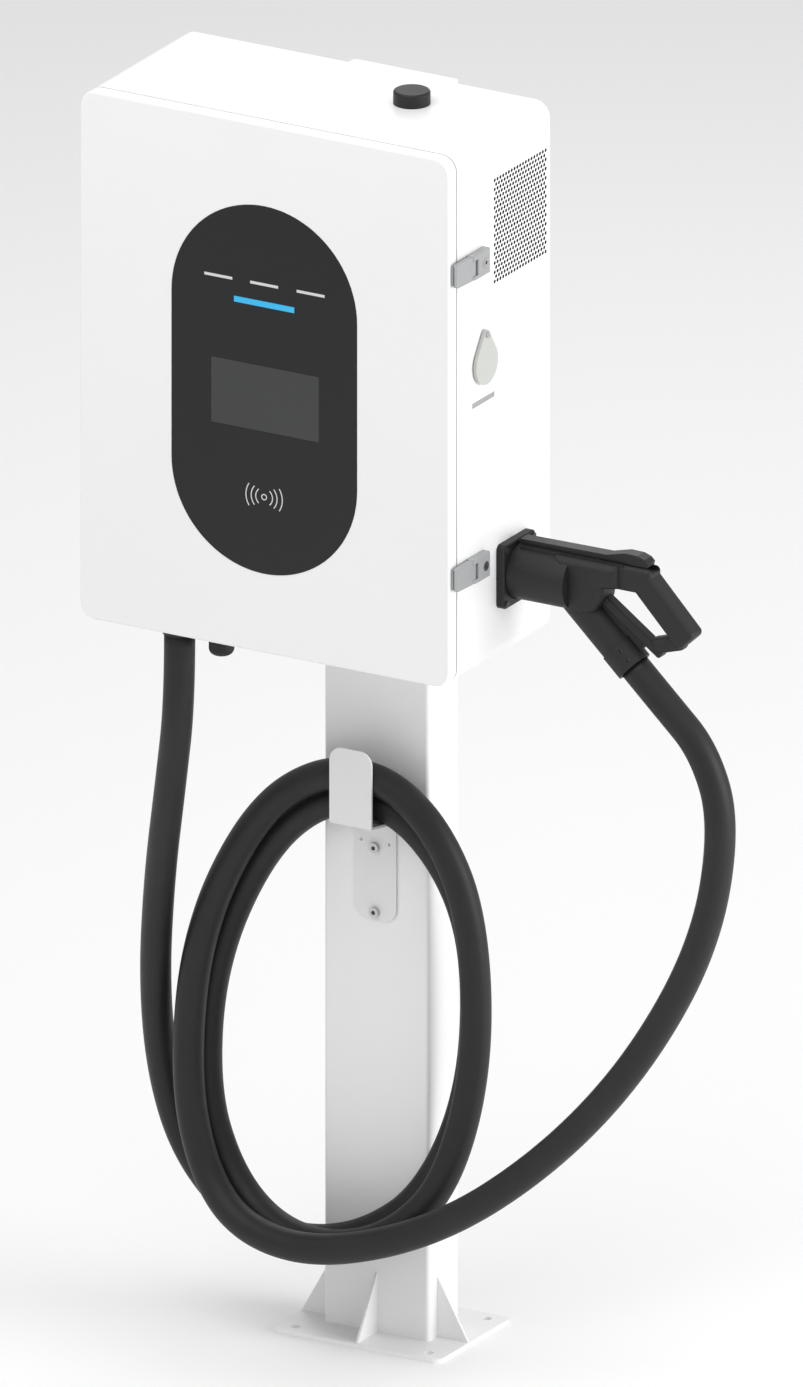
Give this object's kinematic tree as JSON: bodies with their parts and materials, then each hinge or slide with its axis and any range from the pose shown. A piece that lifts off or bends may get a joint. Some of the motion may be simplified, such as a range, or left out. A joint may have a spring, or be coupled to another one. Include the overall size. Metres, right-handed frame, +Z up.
{
  "type": "ev charging post",
  "caption": "Floor-standing electric vehicle charging post: wall-box cabinet on a column, with a parked charging gun and its cable looped over a hook.",
  "frame": {"origin": "centre of the base plate's underside, on the column's centre line", "axes": "+Z up the column, -Y towards the cabinet's door, +X towards the charging gun"},
  "size_m": [0.8951, 0.4057, 1.7005],
  "materials": {
    "white_paint": "fine powder coat",
    "warm_white_plastic": "fine texture",
    "black_plastic": "fine texture",
    "dark_gloss": "satin",
    "display": "gloss",
    "light_blue": "diffusing",
    "zinc": "zinc plated",
    "latch_grey": "satin",
    "stainless": "machined",
    "blackened_steel": "blackened",
    "red_plastic": "gloss",
    "seal_rubber": "foam",
    "cable_rubber": "satin",
    "board_green": "lacquered",
    "module_aluminium": "anodised",
    "device_grey": "moulded",
    "filter_foam": "open foam",
    "copper": "bar"
  },
  "bodies": {
    "post": {"base_plate": "white_paint", "base_ribs": "white_paint", "column_tube": "white_paint", "column_cap": "white_paint", "mounting_rails": "white_paint", "rail_bolts": "zinc", "cabinet_shell": "white_paint", "vent_panels": "white_paint", "vent_filters": "filter_foam", "fan_frame": "black_plastic", "antenna_cap": "black_plastic", "output_gland": "black_plastic", "supply_gland": "black_plastic", "hinge_fixed_leaves": "zinc", "hinge_pins": "stainless", "latch_bases": "latch_grey", "latch_locks": "stainless", "latch_pins": "stainless", "estop_housing": "black_plastic", "cover_screw": "stainless", "gun_holder": "black_plastic", "holder_screws": "blackened_steel", "cable_hook": "white_paint", "hook_screws": "stainless", "cable_lead": "cable_rubber", "cable_loops": "cable_rubber", "cable_tail": "cable_rubber", "mounting_plate": "zinc", "power_module": "module_aluminium", "din_rail": "zinc", "breaker_body": "device_grey", "energy_meter": "device_grey", "dc_contactors": "black_plastic", "control_board": "board_green", "aux_power_supply": "module_aluminium", "terminal_block": "device_grey", "earth_bar": "copper"},
    "door": {"door_panel": "white_paint", "door_seal": "seal_rubber", "hinge_door_leaves": "zinc", "fascia_panel": "dark_gloss", "hmi_carrier": "black_plastic", "display_module": "display", "led_light_bar": "light_blue", "card_reader_board": "board_green", "latch_catches": "latch_grey"},
    "latch_lower": {"latch_lever_lower": "latch_grey"},
    "latch_upper": {"latch_lever_upper": "latch_grey"},
    "stop_cover": {"estop_cover": "warm_white_plastic"},
    "stop_plunger": {"estop_stem": "stainless"},
    "stop_head": {"estop_button": "red_plastic"},
    "fan": {"fan_rotor": "black_plastic"},
    "gun": {"gun_shell_left": "black_plastic", "gun_shell_right": "black_plastic", "gun_nose": "black_plastic", "gun_lever_pin": "stainless", "gun_collar": "black_plastic", "gun_screws": "blackened_steel"},
    "thumb_lever": {"gun_lever": "black_plastic"},
    "breaker_switch": {"breaker_toggle": "black_plastic"}
  },
  "joints": [
    {"name": "door_hinge", "type": "hinge", "parent": "post", "child": "door", "pos_m": [-0.2685, -0.296, 1.335], "axis": [0, 0, -1], "range_deg": [0, 120]},
    {"name": "lower_latch_hinge", "type": "hinge", "parent": "post", "child": "latch_lower", "pos_m": [0.27, -0.268, 1.13], "axis": [0, 0, 1], "range_deg": [0, 90]},
    {"name": "upper_latch_hinge", "type": "hinge", "parent": "post", "child": "latch_upper", "pos_m": [0.27, -0.268, 1.53], "axis": [0, 0, 1], "range_deg": [0, 90]},
    {"name": "stop_cover_pivot", "type": "hinge", "parent": "post", "child": "stop_cover", "pos_m": [0.2677, -0.23, 1.4295], "axis": [1, 0, 0], "range_deg": [0, 110]},
    {"name": "stop_press", "type": "slide", "parent": "post", "child": "stop_plunger", "axis": [-1, 0, 0], "range_m": [0, 0.004]},
    {"name": "stop_twist", "type": "hinge", "parent": "stop_plunger", "child": "stop_head", "pos_m": [0.25, -0.23, 1.391], "axis": [1, 0, 0], "range_deg": [0, 35], "stiffness_Nm_per_rad": 0.02},
    {"name": "fan_spin", "type": "hinge", "parent": "post", "child": "fan", "pos_m": [0.237, -0.1385, 1.556], "axis": [1, 0, 0], "continuous": true},
    {"name": "gun_pull", "type": "slide", "parent": "post", "child": "gun", "axis": [1, 0, 0], "range_m": [0, 0.08], "deforming": ["cable_tail"]},
    {"name": "thumb_lever_press", "type": "hinge", "parent": "gun", "child": "thumb_lever", "pos_m": [0.395, -0.158, 1.13], "axis": [0, 1, 0], "range_deg": [0, 4], "stiffness_Nm_per_rad": 0.5},
    {"name": "breaker_switch_pivot", "type": "hinge", "parent": "post", "child": "breaker_switch", "pos_m": [0.106, -0.1485, 1.4415], "axis": [1, 0, 0], "range_deg": [0, 50]}
  ]
}
